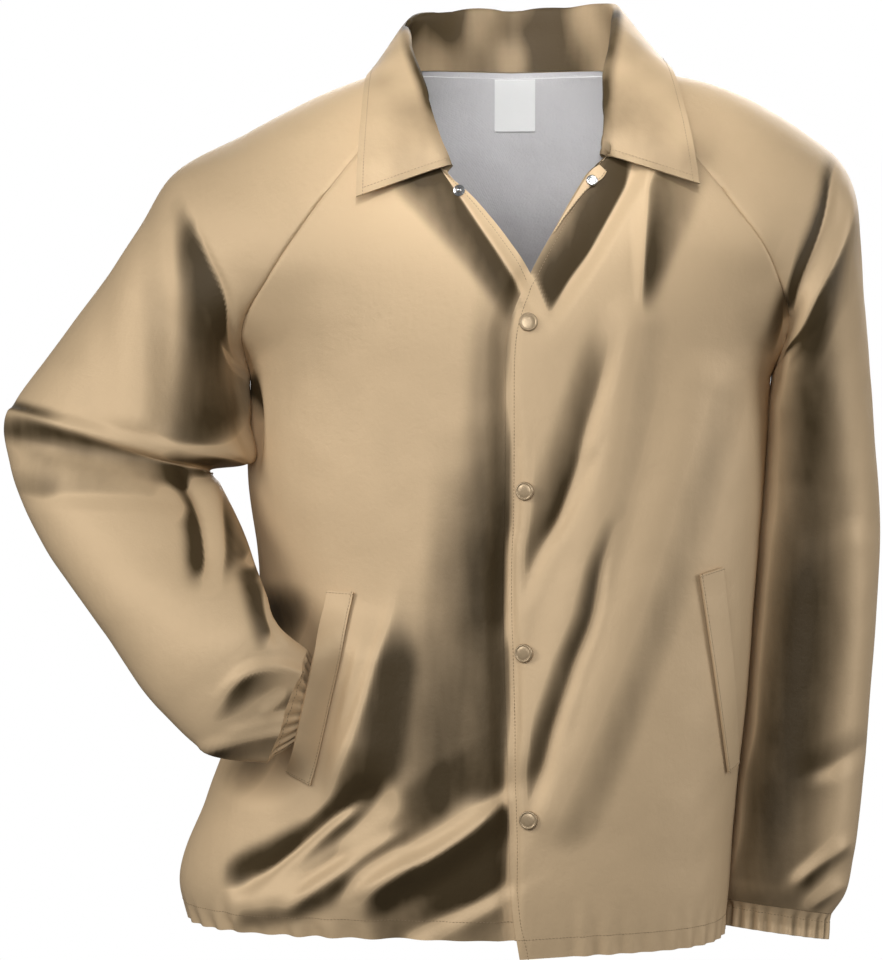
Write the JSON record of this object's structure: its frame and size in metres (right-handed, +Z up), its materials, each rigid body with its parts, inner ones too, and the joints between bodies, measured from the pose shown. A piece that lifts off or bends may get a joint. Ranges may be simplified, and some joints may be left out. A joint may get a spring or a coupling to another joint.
{
  "type": "snap-front raglan jacket",
  "caption": "Hip-length nylon jacket with raglan sleeves, shirt collar, snap front, slanted welt pockets and elastic cuffs, in its hollow worn form with one wrist tucked at a pocket.",
  "frame": {"origin": "Between the shoulders, at the height of the back neck seam, where the wearer's shoulders and neck carry the jacket.", "axes": "+Z points up the wearer's body, -Y is the front of the jacket, and -X is the wearer's right side."},
  "size_m": [0.7725, 0.3194, 0.84],
  "materials": {
    "shell_cloth": "tan woven nylon with a soft satin sheen",
    "lining_cloth": "grey brushed lining, matte",
    "label_cloth": "blank white woven label",
    "cap_paint": "tan enamelled snap cap",
    "snap_metal": "bright nickel-plated snap"
  },
  "bodies": {
    "root": {"front_right": "shell_cloth", "front_left": "shell_cloth", "back": "shell_cloth", "sleeve_right": "shell_cloth", "sleeve_left": "shell_cloth", "cuff_right": "shell_cloth", "cuff_left": "shell_cloth", "collar": "shell_cloth", "facing_left": "shell_cloth", "welt_right": "shell_cloth", "welt_left": "shell_cloth", "lining_back": "lining_cloth", "label": "label_cloth", "snap_cap_1": "cap_paint", "snap_cap_2": "cap_paint", "snap_cap_3": "cap_paint", "snap_cap_4": "cap_paint", "snap_socket": "snap_metal", "snap_stud": "snap_metal"}
  },
  "joints": []
}
